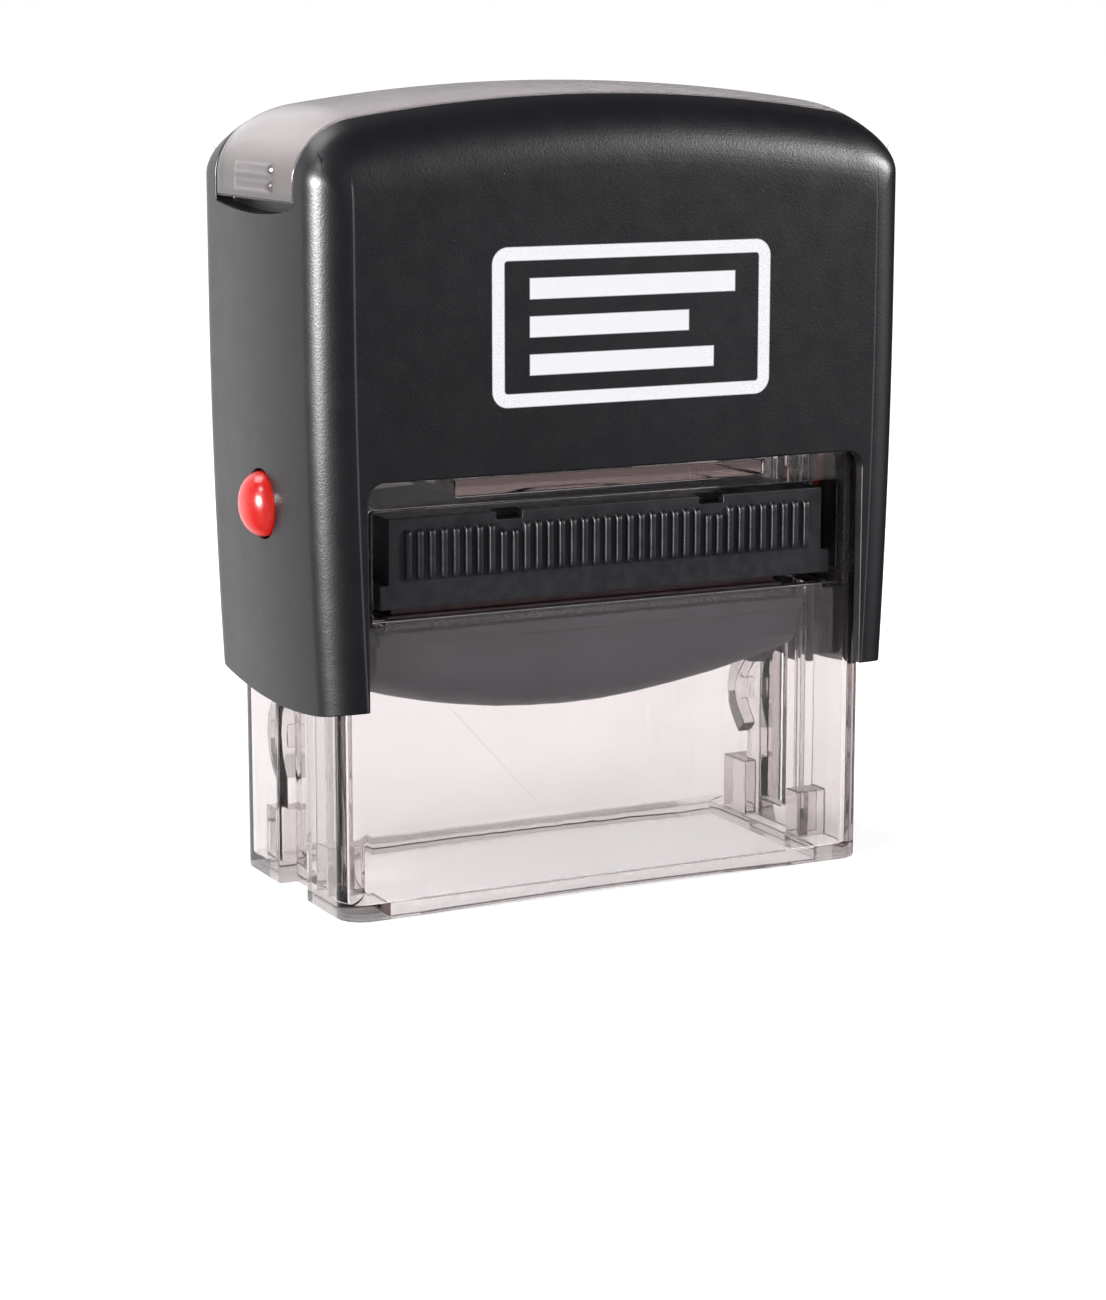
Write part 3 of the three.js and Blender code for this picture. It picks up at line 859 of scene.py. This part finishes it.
# node, body, slot, finish, edge radius, segments, least angle that is rounded
carried = [
    ("base_frame", "frame", "clear_smoke", "clear_smoke", 0.14, 2, 30),
    ("ink_pad", "ink_cartridge", "ink_felt", "ink_felt", 0.35, 3, 30),
    ("yoke", "cap", "inner_black", "inner_black", 0.12, 2, 30),
    ("platen", "platen", "inner_black", "platen_black", 0.15, 2, 30),
    ("die_foam", "platen", "foam_grey", "foam_grey", 0.12, 2, 30),
    ("text_die", "platen", "die_rubber", "die_rubber", 0.08, 2, 30),
]
for node, body, slot, finish, radius, segments, limit in carried:
    piece = place(node + "_look", cleanCopy(node), body, node, finishes[finish])
    bevel(piece, radius, segments, limit)
print("carried-over pieces finished")


# ---- stage --------------------------------------------------------------------------

studio = {
    "floorSize": 6.0,
    "floorGlow": 0.5,
    "white": 1.0,
    "clearBack": 0.92,
    "ambient": 0.62,
    "glossyFront": 0.05,
    "glossyBack": 1.15,
    "glossyRight": 0.3,
    "clearFront": 0.35,
    "reflectedBack": (0.2, 1.0),
    "reflectedRight": (0.1, 0.4),
    "clearEdge": (-0.25, 0.3),
    "aimHeight": 0.035,
}
lamps = [
    # name, direction from the object, distance, width, height, radiance, lights matt surfaces
    ("soft above", (-0.30, 0.40, 0.86), 0.75, 0.36, 0.36, 5.2, True),
    ("key left", (-0.62, -0.19, 0.70), 0.70, 0.16, 0.16, 12.0, True),
    ("corner glint", (-0.95, -0.28, 0.18), 0.70, 0.20, 0.12, 300.0, False),
    ("crown glint", (0.74, -0.58, 0.34), 0.70, 0.12, 0.12, 115.0, False),
    ("fill right", (0.85, -0.50, 0.10), 0.28, 0.14, 0.18, 0.9, True),
]

floorMesh = bpy.data.meshes.new("floor")
half = studio["floorSize"]
floorMesh.from_pydata(
    [(-half, -half, 0), (half, -half, 0), (half, half, 0), (-half, half, 0)],
    [],
    [(0, 1, 2, 3)],
)
floor = bpy.data.objects.new("floor", floorMesh)
bpy.context.scene.collection.objects.link(floor)
paper = bpy.data.materials.new("floor paper")
paper.use_nodes = True
sheetShader = paper.node_tree.nodes["Principled BSDF"]
for socket, value in {
    "Base Color": rgb(0.9, 0.9, 0.9),
    "Roughness": 1.0,
    "Specular IOR Level": 0.0,
    "Emission Color": rgb(1, 1, 1),
    "Emission Strength": studio["floorGlow"],
}.items():
    sheetShader.inputs[socket].default_value = value
floorMesh.materials.append(paper)
floor.visible_glossy = False

world = bpy.data.worlds.new("studio")
bpy.context.scene.world = world
world.use_nodes = True
sky = Flow(world.node_tree)
direction = sky.node("ShaderNodeTexCoord", out="Generated")
back = sky.node("ShaderNodeSeparateXYZ", {}, {"Vector": direction}, out="Y")
across = sky.node("ShaderNodeSeparateXYZ", {}, {"Vector": direction}, out="X")
transmitted = sky.node("ShaderNodeLightPath", out="Is Transmission Ray")
direct = sky.node("ShaderNodeLightPath", out="Is Camera Ray")
seen = direct.atLeast(transmitted)
glossy = sky.node("ShaderNodeLightPath", out="Is Glossy Ray")
reflected = back.ramp(*studio["reflectedBack"], studio["glossyFront"], studio["glossyBack"])
reflected = reflected * across.ramp(*studio["reflectedRight"], 1.0, studio["glossyRight"])
unseen = glossy * reflected + (1 - glossy) * studio["ambient"]
through = back.ramp(*studio["clearEdge"], studio["clearFront"], studio["clearBack"])
strength = seen * through.atLeast(direct * studio["white"]) + (1 - seen) * unseen
background = world.node_tree.nodes["Background"]
world.node_tree.links.new(strength.socket, background.inputs["Strength"])
background.inputs["Color"].default_value = rgb(1, 1, 1)

middle = Vector((0, 0, studio["aimHeight"]))
for name, towards, distance, width, height, radiance, matt in lamps:
    light = bpy.data.lights.new(name, "AREA")
    light.shape = "RECTANGLE"
    light.size, light.size_y = width, height
    light.energy = radiance * width * height * math.pi
    lamp = bpy.data.objects.new(name, light)
    bpy.context.scene.collection.objects.link(lamp)
    lamp.location = middle + Vector(towards).normalized() * distance
    lamp.rotation_euler = (middle - lamp.location).to_track_quat("-Z", "Y").to_euler()
    lamp.visible_camera = False
    lamp.visible_diffuse = matt
    lamp.visible_transmission = False

view = {
    "focal": 89.29,
    "sensor": 36.0,
    "nearest": 0.01,
    "furthest": 20.0,
    "from": (-0.125885, -0.247927, 0.072913),
    "to": (-0.00005, 0.0, 0.018904),
}
lens = bpy.data.cameras.new("camera")
lens.lens = view["focal"]
lens.sensor_width = view["sensor"]
lens.clip_start = view["nearest"]
lens.clip_end = view["furthest"]
camera = bpy.data.objects.new("camera", lens)
bpy.context.scene.collection.objects.link(camera)
camera.location = view["from"]
aim = Vector(view["to"])
camera.rotation_euler = (aim - camera.location).to_track_quat("-Z", "Y").to_euler()
bpy.context.scene.camera = camera
bpy.context.scene.view_settings.view_transform = "Standard"
print("stage ready")
